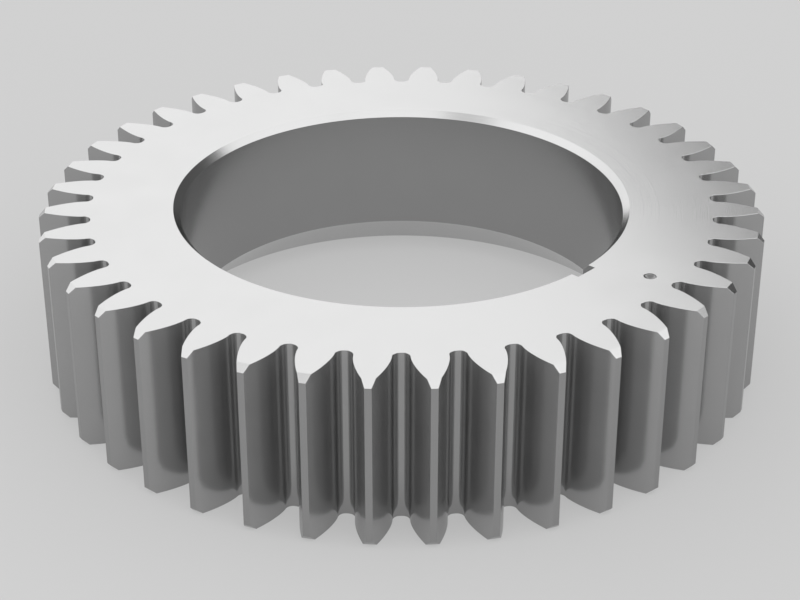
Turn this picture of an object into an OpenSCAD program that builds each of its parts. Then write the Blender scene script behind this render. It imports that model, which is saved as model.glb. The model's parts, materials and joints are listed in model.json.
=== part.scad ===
// Crankshaft gear of a heavy diesel engine: one steel ring with straight involute teeth,
// pressed and keyed on the shaft. The teeth are longer than standard ones, for quiet running.
// The origin is the centre of the bore on the rear face. +Z runs along the bore to the front
// face, and +X runs through the middle of the keyway.

/* [Teeth] */
// Number of teeth
teeth = 40; // [36:1:60]
// Module, the pitch diameter over the number of teeth
tooth_module = 4.2333; // [4:0.0001:6]
// Pressure angle of the flanks, in degrees
pressure_angle = 20; // [17.5:0.5:22.5]
// Height of a tooth above the pitch circle, in modules
addendum_factor = 1.35; // [1:0.01:1.45]
// Depth of a tooth space below the pitch circle, in modules
dedendum_factor = 1.68; // [1.25:0.01:1.75]
// Radius of the round at each side of a root, in modules
fillet_factor = 0.42; // [0.2:0.01:0.45]
// Thinning of each tooth at the pitch circle, which gives the backlash
tooth_thinning = 0.15; // [0:0.01:0.4]
// Flats that make up each involute flank
flank_steps = 6; // [3:1:12]
// Flats that make up each root round
fillet_steps = 5; // [3:1:10]

/* [Body] */
// Width of the gear along its axis
face_width = 42.85; // [30:0.05:60]
// Chamfer on the tooth tips at both faces
tip_chamfer = 1.6; // [0.4:0.1:3]

/* [Bore] */
// Diameter of the bore that is pressed on the shaft
bore_d = 111; // [80:0.5:114]
// Lead-in chamfer of the bore at the front face
front_chamfer = 1.6; // [0.4:0.1:4]
// Chamfer of the bore at the rear face, which clears the shaft's shoulder fillet
rear_chamfer = 9.3; // [1:0.1:10]

/* [Keyway] */
// Width of the keyway
key_width = 6.35; // [4:0.05:12]
// Depth of the keyway at its middle, from the bore wall
key_depth = 3.4; // [2:0.1:6]
// Turn of the nearest tooth space from the keyway, in tooth pitches
key_phase = 0.25; // [0:0.05:0.5]

/* [Timing dimple] */
// Diameter of the drilled dimple that marks a tooth space on the front face
dimple_d = 3; // [1.5:0.1:5]
// Depth of the dimple's straight wall
dimple_wall = 0.3; // [0.1:0.1:2]
// Point angle of the drill, in degrees
drill_point = 118; // [90:1:140]
// Distance of the dimple's centre from the root circle
dimple_inset = 6.1; // [3:0.1:9]
// Tooth spaces from the one beside the keyway to the marked one
dimple_space = 1; // [0:1:10]

/* [Hidden] */

// Facets of the preview, and how far each cut runs past the face that it opens
$fn = 240;
over = 1;
steel = [0.56, 0.57, 0.58];

// Circles of the teeth
pitch_angle = 360 / teeth;
pitch_r = teeth * tooth_module / 2;
base_r = pitch_r * cos(pressure_angle);
tip_r = pitch_r + addendum_factor * tooth_module;
root_r = pitch_r - dedendum_factor * tooth_module;
bore_r = bore_d / 2;

// Half of a tooth space, as an angle at the pitch circle and where its flank leaves the base circle
space_at_pitch = pitch_angle / 4 + to_degrees(tooth_thinning / 2 / pitch_r);
space_at_base = space_at_pitch - involute(tan(pressure_angle));

// Each root round touches its flank and the root circle, and leaves a small land between the two
root_land = 0.1;
round_limit = sin(space_at_base - to_degrees(root_land / 2 / root_r));
fillet_r = min(fillet_factor * tooth_module, root_r * round_limit / (1 - round_limit));
fillet_centre_r = root_r + fillet_r;

// Above this radius the round touches the involute, and below it the straight foot of the flank
foot_limit = norm([base_r, fillet_r]);
on_involute = fillet_centre_r > foot_limit;
centre_roll = on_involute ? sqrt(pow(fillet_centre_r / base_r, 2) - 1) : 0;
foot_roll = on_involute ? centre_roll - fillet_r / base_r : 0;
fillet_angle = on_involute
    ? space_at_base - to_degrees(fillet_r / base_r) + involute(centre_roll)
    : space_at_base - asin(fillet_r / fillet_centre_r);
touch_direction = 90 + (on_involute ? fillet_angle + atan(centre_roll) : space_at_base);
tip_roll = sqrt(pow((tip_r + over) / base_r, 2) - 1);

function to_degrees(radians) = radians * 180 / PI;

// Polar angle that an involute has turned at a roll, where roll is the tangent of its pressure angle
function involute(roll) = to_degrees(roll) - atan(roll);

function polar(r, angle) = [r * cos(angle), r * sin(angle)];

function flank_point(roll) = polar(base_r * norm([1, roll]), space_at_base + involute(roll));

function fillet_point(angle) = polar(fillet_centre_r, fillet_angle) + polar(fillet_r, angle);

// One side of a tooth space, from past the tip down the flank and round to the root
function space_side() = concat(
    [for (i = [flank_steps:-1:0]) flank_point(foot_roll + (tip_roll - foot_roll) * i / flank_steps)],
    [for (i = [on_involute ? 1 : 0:fillet_steps])
        fillet_point(touch_direction + (180 + fillet_angle - touch_direction) * i / fillet_steps)]
);

function mirrored(points) = [for (i = [len(points) - 1:-1:0]) [points[i].x, -points[i].y]];

module crankshaft_gear() {
    color(steel)
        difference() {
            turned_blank();
            tooth_spaces();
            keyway();
            timing_dimple();
        }
}

// The ring as it leaves the lathe, with its bore and all its chamfers
module turned_blank() {
    rotate_extrude()
        polygon([
            [bore_r, rear_chamfer],
            [bore_r + rear_chamfer, 0],
            [tip_r - tip_chamfer, 0],
            [tip_r, tip_chamfer],
            [tip_r, face_width - tip_chamfer],
            [tip_r - tip_chamfer, face_width],
            [bore_r + front_chamfer, face_width],
            [bore_r, face_width - front_chamfer]
        ]);
}

// The gaps between the teeth, cut through both faces
module tooth_spaces() {
    side = space_side();
    for (i = [0:teeth - 1])
        rotate((i - key_phase) * pitch_angle)
            translate([0, 0, -over])
                linear_extrude(face_width + 2 * over)
                    polygon(concat(side, mirrored(side)));
}

module keyway() {
    translate([0, -key_width / 2, -over])
        cube([bore_r + key_depth, key_width, face_width + 2 * over]);
}

// A shallow drilled mark in line with one tooth space
module timing_dimple() {
    cone_depth = dimple_d / 2 / tan(drill_point / 2);
    rotate((dimple_space - key_phase) * pitch_angle)
        translate([root_r - dimple_inset, 0, face_width - dimple_wall])
            rotate_extrude()
                polygon([
                    [0, -cone_depth],
                    [dimple_d / 2, 0],
                    [dimple_d / 2, dimple_wall + over],
                    [0, dimple_wall + over]
                ]);
}

crankshaft_gear();
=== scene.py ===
import json
import math

import bmesh
import bpy
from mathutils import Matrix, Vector


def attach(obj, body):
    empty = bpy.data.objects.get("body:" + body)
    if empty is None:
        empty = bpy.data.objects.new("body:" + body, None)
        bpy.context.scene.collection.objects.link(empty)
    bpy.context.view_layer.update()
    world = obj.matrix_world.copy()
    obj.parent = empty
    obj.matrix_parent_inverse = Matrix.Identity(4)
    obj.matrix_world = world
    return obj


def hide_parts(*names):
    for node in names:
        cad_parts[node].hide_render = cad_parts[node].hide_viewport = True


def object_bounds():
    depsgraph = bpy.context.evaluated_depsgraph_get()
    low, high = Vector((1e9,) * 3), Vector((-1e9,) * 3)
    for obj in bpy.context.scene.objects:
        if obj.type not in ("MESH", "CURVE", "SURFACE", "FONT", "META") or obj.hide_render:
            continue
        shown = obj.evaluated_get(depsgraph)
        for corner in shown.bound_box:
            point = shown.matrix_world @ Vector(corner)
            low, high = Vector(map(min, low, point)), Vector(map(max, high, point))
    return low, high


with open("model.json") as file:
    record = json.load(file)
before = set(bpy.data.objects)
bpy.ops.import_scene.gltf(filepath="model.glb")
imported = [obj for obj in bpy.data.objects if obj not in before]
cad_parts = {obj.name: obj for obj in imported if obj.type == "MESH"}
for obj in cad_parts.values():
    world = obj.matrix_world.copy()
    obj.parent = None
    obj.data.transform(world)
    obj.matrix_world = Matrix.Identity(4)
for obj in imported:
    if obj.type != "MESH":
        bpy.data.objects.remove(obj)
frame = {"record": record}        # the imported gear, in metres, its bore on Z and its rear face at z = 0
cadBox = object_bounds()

gearNode = "crankshaft_gear"
mounts = {mount["name"]: mount for mount in frame["record"]["mounts"]}
width = cadBox[1].z - cadBox[0].z
near = 1e-5                     # metres: two places closer than this are the same
wallTilt = 0.5                  # a face is a wall while its normal's Z stays under this
flatTilt = 0.9                  # and flat once its normal's Z passes this
seedSize = 0.001                # metres: the plane that is merged to a start point
print("frame loaded, gear is", round(width * 1000, 2), "mm wide")


# small helpers for edit mode

def pick(piece, mode, test):
    # selects the verts, edges or faces that pass the test, and nothing else
    bpy.ops.mesh.select_mode(type=mode)
    bpy.ops.mesh.select_all(action="DESELECT")
    mesh = bmesh.from_edit_mesh(piece.data)
    parts = {"VERT": mesh.verts, "EDGE": mesh.edges, "FACE": mesh.faces}[mode]
    for part in parts:
        if test(part):
            part.select_set(True)
    mesh.select_flush_mode()    # edges between picked verts count as picked
    bmesh.update_edit_mesh(piece.data)


def startPoint(name, place):
    # a small plane merged to its middle leaves one vertex to extrude from
    bpy.ops.object.select_all(action="DESELECT")
    bpy.ops.mesh.primitive_plane_add(size=seedSize, location=place)
    piece = bpy.context.active_object
    piece.name = name
    piece.data.name = name
    bpy.ops.object.transform_apply(location=True)
    bpy.ops.object.mode_set(mode="EDIT")
    bpy.ops.mesh.select_all(action="SELECT")
    bpy.ops.mesh.merge(type="CENTER")
    return piece


def drawLine(points):
    # pulls the selected vertex along the points, one extrude for each
    for start, end in zip(points, points[1:]):
        bpy.ops.mesh.extrude_vertices_move(TRANSFORM_OT_translate={"value": end - start})


def cutAway(piece, cutter):
    # boolean difference, then the cutter goes
    bpy.ops.object.select_all(action="DESELECT")
    bpy.context.view_layer.objects.active = piece
    piece.select_set(True)
    cut = piece.modifiers.new("cut", "BOOLEAN")
    cut.operation = "DIFFERENCE"
    cut.solver = "EXACT"
    cut.object = cutter
    bpy.ops.object.modifier_apply(modifier=cut.name)
    bpy.data.objects.remove(cutter)


def polar(radius, angle, z=0.0):
    return Vector((radius * math.cos(angle), radius * math.sin(angle), z))


def radiusOf(co):
    return math.hypot(co.x, co.y)


# the gear: one tooth is drawn and closed, spun round the bore, then bored and keyed

gear = {
    "teeth": 40,
    "module": 0.0042333,
    "pressureAngle": 20.0,
    "addendum": 1.35,           # in modules
    "dedendum": 1.68,
    "rootRound": 0.42,          # radius of the round at each side of a root
    "rootLand": 0.0001,         # left between the two root rounds of a space
    "thinning": 0.00015,        # of each tooth at the pitch circle, for backlash
    "tipChamfer": 0.0016,
    "tipLand": 0.0001,          # faces this close to the tip circle belong to its land
    "frontChamfer": 0.0016,
    "rearChamfer": 0.0093,
    "keyWidth": 0.00635,
    "keyCutFrom": 0.8,          # of the bore's radius, where the cutter starts
    "keyCutLength": 1.2,        # of the gear's width
    "phase": 0.25,              # tooth pitches from the keyway back to a tooth space
    "flankSteps": 14,
    "roundSteps": 8,
    "boreSteps": 6,             # for each tooth
    "edgeBreak": 0.00006,
    "edgeBreakFrom": 50.0,      # degrees between the two faces at an edge
    "smoothUpTo": 18.0,
}

pitch = 2 * math.pi / gear["teeth"]
pitchR = gear["teeth"] * gear["module"] / 2
baseR = pitchR * math.cos(math.radians(gear["pressureAngle"]))
tipR = pitchR + gear["addendum"] * gear["module"]
rootR = pitchR - gear["dedendum"] * gear["module"]
chamferR = tipR - gear["tipChamfer"]
boreR = mounts["bore"]["dims"]["r_mm"] / 1000
keyFloor = mounts["keyway"]["pos_m"][0]     # from the axis to the keyway's floor


def involute(roll):
    # angle that an involute has turned, where roll is the tangent of its pressure angle
    return roll - math.atan(roll)


def toothSide():
    # from the middle of a tooth space, at minus half a pitch, to the middle of the tip at angle 0
    spaceAtPitch = pitch / 4 + gear["thinning"] / 2 / pitchR
    spaceAtBase = spaceAtPitch - involute(math.tan(math.radians(gear["pressureAngle"])))
    limit = math.sin(spaceAtBase - gear["rootLand"] / 2 / rootR)
    roundR = min(gear["rootRound"] * gear["module"], rootR * limit / (1 - limit))
    centreR = rootR + roundR
    centreAngle = spaceAtBase - math.asin(roundR / centreR)
    roundCentre = polar(centreR, centreAngle)
    startTurn = math.pi + centreAngle
    endTurn = math.pi / 2 + spaceAtBase
    points = [polar(rootR, 0.0)]
    for step in range(gear["roundSteps"] + 1):
        turn = startTurn + (endTurn - startTurn) * step / gear["roundSteps"]
        points.append(roundCentre + polar(roundR, turn))
    rollToChamfer = math.sqrt((chamferR / baseR) ** 2 - 1)
    rollToTip = math.sqrt((tipR / baseR) ** 2 - 1)
    rolls = [rollToChamfer * step / gear["flankSteps"] for step in range(gear["flankSteps"] + 1)]
    rolls += [(rollToChamfer + rollToTip) / 2, rollToTip]
    for roll in rolls:
        points.append(polar(baseR * math.hypot(1, roll), spaceAtBase + involute(roll)))
    points.append(polar(tipR, pitch / 2))
    return [polar(radiusOf(p), math.atan2(p.y, p.x) - pitch / 2) for p in points]


def closeEnd(piece, z, innerR):
    # one end face of the tooth: the flat from the bore to the chamfer, and the chamfer's own face
    def atEnd(v):
        return abs(v.co.z - z) < near

    pick(piece, "VERT", lambda v: atEnd(v) and abs(radiusOf(v.co) - chamferR) < near)
    bpy.ops.mesh.edge_face_add()
    pick(piece, "VERT", lambda v: atEnd(v) and radiusOf(v.co) > chamferR - near)
    bpy.ops.mesh.edge_face_add()
    foot = polar(rootR, -pitch / 2, z)
    pick(piece, "VERT", lambda v: (v.co - foot).length < near)
    turns = [pitch * (step / gear["boreSteps"] - 0.5) for step in range(gear["boreSteps"] + 1)]
    drawLine([foot] + [polar(innerR, turn, z) for turn in turns])
    ends = [polar(innerR, pitch / 2, z), polar(rootR, pitch / 2, z)]
    pick(piece, "VERT", lambda v: min((v.co - end).length for end in ends) < near)
    bpy.ops.mesh.edge_face_add()
    pick(piece, "VERT", lambda v: atEnd(v) and radiusOf(v.co) < chamferR + near)
    bpy.ops.mesh.edge_face_add()


def modelTooth():
    side = toothSide()
    piece = startPoint(gearNode + "_fine", side[0])
    drawLine(side)
    bpy.ops.mesh.select_all(action="SELECT")
    bpy.ops.mesh.duplicate()
    bpy.ops.transform.resize(value=(1, -1, 1), center_override=(0, 0, 0))
    bpy.ops.mesh.select_all(action="SELECT")
    bpy.ops.mesh.remove_doubles(threshold=near)
    bpy.ops.mesh.select_all(action="SELECT")
    bpy.ops.mesh.extrude_edges_move(TRANSFORM_OT_translate={"value": (0, 0, width)})
    closeEnd(piece, 0.0, boreR + gear["rearChamfer"])
    closeEnd(piece, width, boreR + gear["frontChamfer"])
    return piece


def leanChamfers(piece):
    # tip chamfers: each circle of points past their inner edge, told apart to the micrometre,
    # moves along Z by as much as it lies outside that edge
    mesh = bmesh.from_edit_mesh(piece.data)
    radii = sorted({round(radiusOf(v.co), 6) for v in mesh.verts if radiusOf(v.co) > chamferR + near})
    for radius in radii:
        for z, way in ((0.0, 1), (width, -1)):
            place = Vector((radius, z))
            pick(piece, "VERT", lambda v: (Vector((radiusOf(v.co), v.co.z)) - place).length < near)
            bpy.ops.transform.translate(value=(0, 0, way * (radius - chamferR)))


def modelRing(piece):
    bpy.ops.mesh.select_all(action="SELECT")
    bpy.ops.mesh.spin(
        steps=gear["teeth"],
        dupli=True,
        angle=2 * math.pi,
        center=(0, 0, 0),
        axis=(0, 0, 1),
    )
    bpy.ops.mesh.select_all(action="SELECT")
    bpy.ops.mesh.remove_doubles(threshold=near)


def modelBore(piece):
    # from the rear edge of the bore up its chamfer, along the wall and out of the front chamfer
    rearEdge = boreR + gear["rearChamfer"]

    def onRearEdge(v):
        return abs(radiusOf(v.co) - rearEdge) < near and v.co.z < near

    pick(piece, "EDGE", lambda e: all(onRearEdge(v) for v in e.verts))
    stations = [
        (boreR / rearEdge, gear["rearChamfer"]),
        (1.0, width - gear["rearChamfer"] - gear["frontChamfer"]),
        ((boreR + gear["frontChamfer"]) / boreR, gear["frontChamfer"]),
    ]
    for scale, rise in stations:
        bpy.ops.mesh.extrude_edges_move(TRANSFORM_OT_translate={"value": (0, 0, rise)})
        bpy.ops.transform.resize(value=(scale, scale, 1), center_override=(0, 0, 0))
    bpy.ops.mesh.select_all(action="SELECT")
    bpy.ops.mesh.remove_doubles(threshold=near)
    bpy.ops.mesh.normals_make_consistent(inside=False)


def keyCutter():
    # a box from inside the bore to the keyway's floor, long enough to pass both faces
    inner = boreR * gear["keyCutFrom"]
    place = ((inner + keyFloor) / 2, 0, width / 2)
    bpy.ops.object.select_all(action="DESELECT")
    bpy.ops.mesh.primitive_cube_add(size=1, location=place)
    cutter = bpy.context.active_object
    cutter.scale = (keyFloor - inner, gear["keyWidth"], width * gear["keyCutLength"])
    bpy.ops.object.transform_apply(location=True, rotation=True, scale=True)
    return cutter


dimple = {
    "radius": 0.0015,
    "wall": 0.0003,             # depth of its straight wall
    "drillPoint": 118.0,        # degrees
    "inset": 0.0061,            # from the root circle to its centre
    "space": 1,                 # tooth spaces from the one beside the keyway
    "sides": 48,
}


def dimplePlace():
    return polar(rootR - dimple["inset"], (dimple["space"] - gear["phase"]) * pitch)


def dimpleCutter():
    # a short drill: a cylinder whose lower end is drawn out to a point
    place = dimplePlace()
    above = dimple["radius"]    # how far the drill stands out of the face
    bpy.ops.object.select_all(action="DESELECT")
    bpy.ops.mesh.primitive_cylinder_add(
        vertices=dimple["sides"],
        radius=dimple["radius"],
        depth=dimple["wall"] + above,
        location=(place.x, place.y, width + (above - dimple["wall"]) / 2),
    )
    cutter = bpy.context.active_object
    bpy.ops.object.transform_apply(location=True)
    bpy.ops.object.mode_set(mode="EDIT")
    pick(cutter, "FACE", lambda f: f.normal.z < -flatTilt)
    tip = dimple["radius"] / math.tan(math.radians(dimple["drillPoint"] / 2))
    bpy.ops.mesh.extrude_region_move(TRANSFORM_OT_translate={"value": (0, 0, -tip)})
    bpy.ops.mesh.merge(type="CENTER")
    bpy.ops.object.mode_set(mode="OBJECT")
    return cutter


def finishEdges(piece):
    # the sharp edges are only just broken, as a deburring brush leaves them
    bpy.ops.object.select_all(action="DESELECT")
    bpy.context.view_layer.objects.active = piece
    piece.select_set(True)
    edge = piece.modifiers.new("edges", "BEVEL")
    edge.width = gear["edgeBreak"]
    edge.segments = 1
    edge.limit_method = "ANGLE"
    edge.angle_limit = math.radians(gear["edgeBreakFrom"])
    bpy.ops.object.modifier_apply(modifier=edge.name)
    bpy.ops.object.shade_smooth_by_angle(angle=math.radians(gear["smoothUpTo"]))


def modelGear():
    piece = modelTooth()
    leanChamfers(piece)
    modelRing(piece)
    modelBore(piece)
    bpy.ops.object.mode_set(mode="OBJECT")
    piece.rotation_euler.z = pitch * (0.5 - gear["phase"])
    bpy.ops.object.transform_apply(rotation=True)
    cutAway(piece, keyCutter())
    cutAway(piece, dimpleCutter())
    finishEdges(piece)
    return piece


gearPiece = modelGear()
print("gear modelled:", len(gearPiece.data.polygons), "faces")


# steel: each tool leaves its own marks on the faces that it cut, and the hobbed, turned and drilled
# copies also carry a painted shade as a darker grey

steel = {
    "faced": {
        "grey": 0.57,
        "metal": 1.0,           # what is missing from 1 is a thin dull film of oil and scale
        "glance": 1.0,          # tint of what it mirrors at a grazing angle
        "roughness": 0.20,
        "follow": "rings",      # the marks run in circles round the bore
        "markWidth": 0.00022,
        "markDepth": 0.00001,
    },
    "hobbed_painted_shade": {
        # painted shade: this grey and glance sit below the faced steel's, to darken the tooth walls
        "grey": 0.39,
        "metal": 0.8,
        "glance": 0.7,
        "roughness": 0.20,
        "follow": "axis",       # along the teeth
        "markWidth": 0.00040,
        "markDepth": 0.000002,
    },
    "turned": {
        # painted shade: this grey and glance sit below the faced steel's, to darken the bore wall and the
        # tip lands
        "grey": 0.36,
        "metal": 0.92,
        "glance": 0.9,
        "roughness": 0.20,
        "follow": "height",     # level, one above the other
        "markWidth": 0.00025,
        "markDepth": 0.000006,
    },
    "drilled": {
        # painted shade: the darkest grey, to darken the dimple's hollow
        "grey": 0.28,
        "metal": 1.0,
        "glance": 0.6,
        "roughness": 0.22,
        "follow": "height",
        "markWidth": 0.00010,
        "markDepth": 0.00001,
    },
}

steelGrain = {
    "detail": 2.0,              # of the marks and the grain
    "stretch": 0.02,            # how slowly the marks change along a tooth
    "grainWidth": 0.00030,
    "grainShare": 0.45,         # of the marks' height
    "mottleWidth": 0.012,
    "mottleDetail": 4.0,
    "markShare": 0.25,          # how much the marks show in the patches
    "patchFrom": 0.5,           # the part of the patches' noise from here
    "patchTo": 1.0,             # to here fills the two ranges below
    "greyRange": 0.05,          # of the grey, from darkest to palest
    "roughRange": 0.06,
}


def steelMaterial(name, look):
    material = bpy.data.materials.new(name)
    material.use_nodes = True
    nodes = material.node_tree.nodes
    links = material.node_tree.links
    shader = nodes["Principled BSDF"]
    shader.inputs["Metallic"].default_value = look["metal"]
    shader.inputs["Specular Tint"].default_value = (look["glance"],) * 3 + (1,)
    place = nodes.new("ShaderNodeTexCoord")

    # where the tool marks change: with the radius, round the flanks, or along the bore
    along = nodes.new("ShaderNodeVectorMath")
    along.operation = "MULTIPLY"
    along.inputs[1].default_value = {
        "rings": (1, 1, 0),
        "axis": (1, 1, steelGrain["stretch"]),
        "height": (0, 0, 1),
    }[look["follow"]]
    links.new(place.outputs["Object"], along.inputs[0])
    markWay = along.outputs["Vector"]
    if look["follow"] == "rings":
        radius = nodes.new("ShaderNodeVectorMath")
        radius.operation = "LENGTH"
        links.new(markWay, radius.inputs[0])
        markWay = radius.outputs["Value"]
    marks = nodes.new("ShaderNodeTexNoise")
    marks.inputs["Scale"].default_value = 1 / look["markWidth"]
    marks.inputs["Detail"].default_value = steelGrain["detail"]
    links.new(markWay, marks.inputs["Vector"])

    grain = nodes.new("ShaderNodeTexNoise")
    grain.inputs["Scale"].default_value = 1 / steelGrain["grainWidth"]
    grain.inputs["Detail"].default_value = steelGrain["detail"]
    links.new(place.outputs["Object"], grain.inputs["Vector"])

    mottle = nodes.new("ShaderNodeTexNoise")
    mottle.inputs["Scale"].default_value = 1 / steelGrain["mottleWidth"]
    mottle.inputs["Detail"].default_value = steelGrain["mottleDetail"]
    links.new(place.outputs["Object"], mottle.inputs["Vector"])

    # the marks with the grain on them, as the height of the surface
    surface = nodes.new("ShaderNodeMath")
    surface.operation = "MULTIPLY_ADD"
    surface.inputs[1].default_value = steelGrain["grainShare"]
    links.new(grain.outputs["Fac"], surface.inputs[0])
    links.new(marks.outputs["Fac"], surface.inputs[2])

    bump = nodes.new("ShaderNodeBump")
    bump.inputs["Distance"].default_value = look["markDepth"]
    links.new(surface.outputs["Value"], bump.inputs["Height"])
    links.new(bump.outputs["Normal"], shader.inputs["Normal"])

    # faint patches, which change the grey and the roughness together
    patches = nodes.new("ShaderNodeMath")
    patches.operation = "MULTIPLY_ADD"
    patches.inputs[1].default_value = steelGrain["markShare"]
    links.new(surface.outputs["Value"], patches.inputs[0])
    links.new(mottle.outputs["Fac"], patches.inputs[2])

    def spread(middle, half):
        # the patches' noise as a range of values, as wide to each side of the middle as half
        band = nodes.new("ShaderNodeMapRange")
        band.inputs["From Min"].default_value = steelGrain["patchFrom"]
        band.inputs["From Max"].default_value = steelGrain["patchTo"]
        band.inputs["To Min"].default_value = middle - half
        band.inputs["To Max"].default_value = middle + half
        links.new(patches.outputs["Value"], band.inputs["Value"])
        return band.outputs["Result"]

    shade = spread(look["grey"], look["grey"] * steelGrain["greyRange"] / 2)
    grey = nodes.new("ShaderNodeCombineColor")
    for channel in ("Red", "Green", "Blue"):
        links.new(shade, grey.inputs[channel])
    links.new(grey.outputs["Color"], shader.inputs["Base Color"])
    rough = spread(look["roughness"], steelGrain["roughRange"] / 2)
    links.new(rough, shader.inputs["Roughness"])
    return material


def dressGear(piece):
    mark = dimplePlace()

    def isWall(face):
        return abs(face.normal.z) < wallTilt

    def isTurned(face):
        # the bore's wall, the lands on the tips and the chamfers under those lands, all given the darker
        # steel of painted shade
        reach = radiusOf(face.calc_center_median())
        onLand = isWall(face) and (reach < boreR + near or reach > tipR - gear["tipLand"])
        underLand = reach > chamferR and -flatTilt < face.normal.z < -wallTilt
        return onLand or underLand

    def inDimple(face):
        middle = face.calc_center_median()
        return middle.z < width - near and radiusOf(middle - mark) < dimple["radius"]

    # a later finish takes faces over from the ones before it; all but the faced one are darker with
    # painted shade
    belongs = {
        "faced": lambda face: True,
        "hobbed_painted_shade": isWall,
        "turned": isTurned,
        "drilled": inDimple,
    }
    for name, look in steel.items():
        piece.data.materials.append(steelMaterial(name + "_steel", look))
    bpy.ops.object.mode_set(mode="EDIT")
    for index, name in enumerate(steel):
        pick(piece, "FACE", belongs[name])
        piece.active_material_index = index
        bpy.ops.object.material_slot_assign()
    bpy.ops.object.mode_set(mode="OBJECT")


dressGear(gearPiece)
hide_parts(gearNode)
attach(gearPiece, "root")
print("gear dressed")


# floor, light and camera

studio = {
    "floorSize": 8.0,
    "floorGap": 0.0001,         # between the floor and the gear's rear face
    "floorColour": (0.56, 0.56, 0.56),
    "floorRoughness": 0.9,
    "evenTone": 0.63,           # a tone that no shadow falls on
    "evenShare": 0.6,           # how much of that tone the camera and the metal see in the floor
    "skyStrength": 1.42,
}

# round patches of the tent, each dimmed to its level. The rest is in degrees: right is how far a
# patch's middle lies to the right of where the camera looks, lift is its height above the horizon,
# reach is its radius, and soft is half the width of its blurred rim
skyPanels = [
    # the dark side, which the front face fades towards and the left end of its bore chamfer mirrors
    {"right": 41.5, "lift": -4.0, "reach": 42.6, "soft": 2.0, "level": 0.085},
    # all of the tent's lower part
    {"right": 0.0, "lift": -90.0, "reach": 116.0, "soft": 12.0, "level": 0.9},
    # overhead
    {"right": 0.0, "lift": 74.0, "reach": 27.0, "soft": 6.0, "level": 0.5},
    # a small one behind the camera, which a few chamfers mirror
    {"right": -130.0, "lift": 57.0, "reach": 10.0, "soft": 2.0, "level": 0.66},
]

view = {
    "turn": -47.25,             # degrees from X to the camera, round Z
    "elevation": 27.68,
    "distance": 0.50133,
    "aimDrop": 0.00768,         # of the aim below the gear's middle
    "aimSide": -0.00037,
    "lens": 87.91,
    "sensor": 36.0,
    "clipFrom": 0.01,
}


def makeFloor():
    bpy.ops.object.select_all(action="DESELECT")
    bpy.ops.mesh.primitive_plane_add(size=studio["floorSize"], location=(0, 0, -studio["floorGap"]))
    floor = bpy.context.active_object
    floor.name = "floor"
    bpy.ops.object.transform_apply(location=True)
    paint = bpy.data.materials.new("floor_paper")
    paint.use_nodes = True
    nodes = paint.node_tree.nodes
    links = paint.node_tree.links
    paper = nodes["Principled BSDF"]
    paper.inputs["Base Color"].default_value = (*studio["floorColour"], 1)
    paper.inputs["Roughness"].default_value = studio["floorRoughness"]
    paper.inputs["Specular IOR Level"].default_value = 0.0

    # the camera and the metal see the paper partly as an even pale tone, so its shadows are faint
    rays = nodes.new("ShaderNodeLightPath")
    seen = rays.outputs["Is Camera Ray"]
    for kind in ("Is Glossy Ray", "Is Transmission Ray"):
        either = nodes.new("ShaderNodeMath")
        either.operation = "MAXIMUM"
        links.new(seen, either.inputs[0])
        links.new(rays.outputs[kind], either.inputs[1])
        seen = either.outputs["Value"]
    share = nodes.new("ShaderNodeMath")
    share.operation = "MULTIPLY"
    share.inputs[1].default_value = studio["evenShare"]
    links.new(seen, share.inputs[0])
    even = nodes.new("ShaderNodeEmission")
    even.inputs["Strength"].default_value = studio["evenTone"]
    both = nodes.new("ShaderNodeMixShader")
    links.new(share.outputs["Value"], both.inputs["Fac"])
    links.new(paper.outputs["BSDF"], both.inputs[1])
    links.new(even.outputs["Emission"], both.inputs[2])
    links.new(both.outputs["Shader"], nodes["Material Output"].inputs["Surface"])
    floor.data.materials.append(paint)


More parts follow.
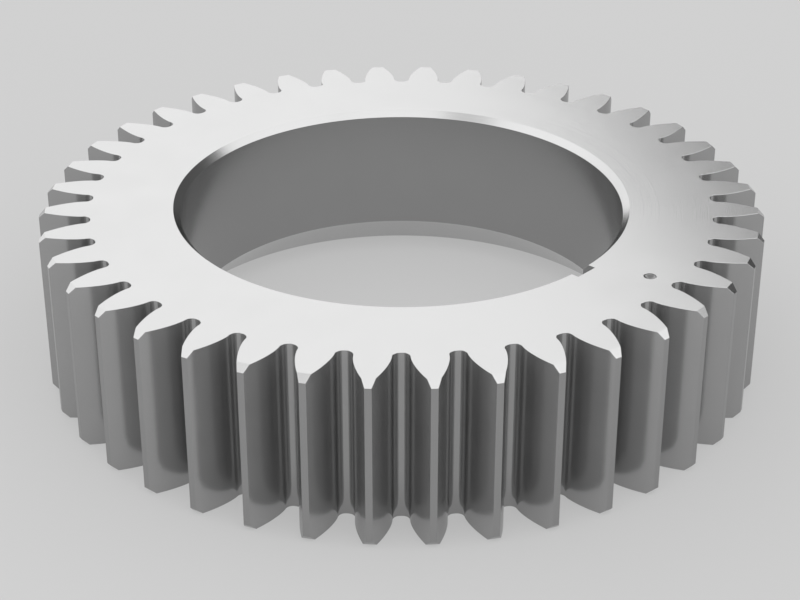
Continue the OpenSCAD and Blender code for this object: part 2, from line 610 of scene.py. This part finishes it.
def makeSky():
    # an even white tent, dimmed where the panels are
    world = bpy.data.worlds.new("studio")
    world.use_nodes = True
    nodes = world.node_tree.nodes
    links = world.node_tree.links
    ways = nodes.new("ShaderNodeTexCoord")
    brightness = None
    for panel in skyPanels:
        turn = math.radians(view["turn"] + 180 - panel["right"])
        lift = math.radians(panel["lift"])
        towards = nodes.new("ShaderNodeVectorMath")
        towards.operation = "DOT_PRODUCT"
        towards.inputs[1].default_value = polar(math.cos(lift), turn, math.sin(lift))
        links.new(ways.outputs["Generated"], towards.inputs[0])
        edge = nodes.new("ShaderNodeMapRange")
        edge.interpolation_type = "SMOOTHSTEP"
        edge.inputs["From Min"].default_value = math.cos(math.radians(panel["reach"] + panel["soft"]))
        edge.inputs["From Max"].default_value = math.cos(math.radians(panel["reach"] - panel["soft"]))
        edge.inputs["To Min"].default_value = 1.0
        edge.inputs["To Max"].default_value = panel["level"]
        links.new(towards.outputs["Value"], edge.inputs["Value"])
        if brightness is None:
            brightness = edge.outputs["Result"]
        else:
            both = nodes.new("ShaderNodeMath")
            both.operation = "MULTIPLY"
            links.new(brightness, both.inputs[0])
            links.new(edge.outputs["Result"], both.inputs[1])
            brightness = both.outputs["Value"]
    full = nodes.new("ShaderNodeMath")
    full.operation = "MULTIPLY"
    full.inputs[1].default_value = studio["skyStrength"]
    links.new(brightness, full.inputs[0])
    links.new(full.outputs["Value"], nodes["Background"].inputs["Strength"])
    nodes["Background"].inputs["Color"].default_value = (1, 1, 1, 1)
    bpy.context.scene.world = world


def makeCamera():
    turn = math.radians(view["turn"])
    lift = math.radians(view["elevation"])
    middle = (cadBox[0] + cadBox[1]) / 2
    out = Vector((math.cos(turn) * math.cos(lift), math.sin(turn) * math.cos(lift), math.sin(lift)))
    right = Vector((-math.sin(turn), math.cos(turn), 0))
    camera = bpy.data.cameras.new("camera")
    camera.sensor_width = view["sensor"]
    camera.lens = view["lens"]
    camera.clip_start = view["clipFrom"]
    holder = bpy.data.objects.new("camera", camera)
    bpy.context.scene.collection.objects.link(holder)
    holder.location = middle + out * view["distance"]
    aim = middle + right * view["aimSide"] - Vector((0, 0, view["aimDrop"]))
    holder.rotation_euler = (aim - holder.location).to_track_quat("-Z", "Y").to_euler()
    bpy.context.scene.camera = holder


makeFloor()
makeSky()
makeCamera()
bpy.context.scene.view_settings.view_transform = "Standard"
print("studio ready")
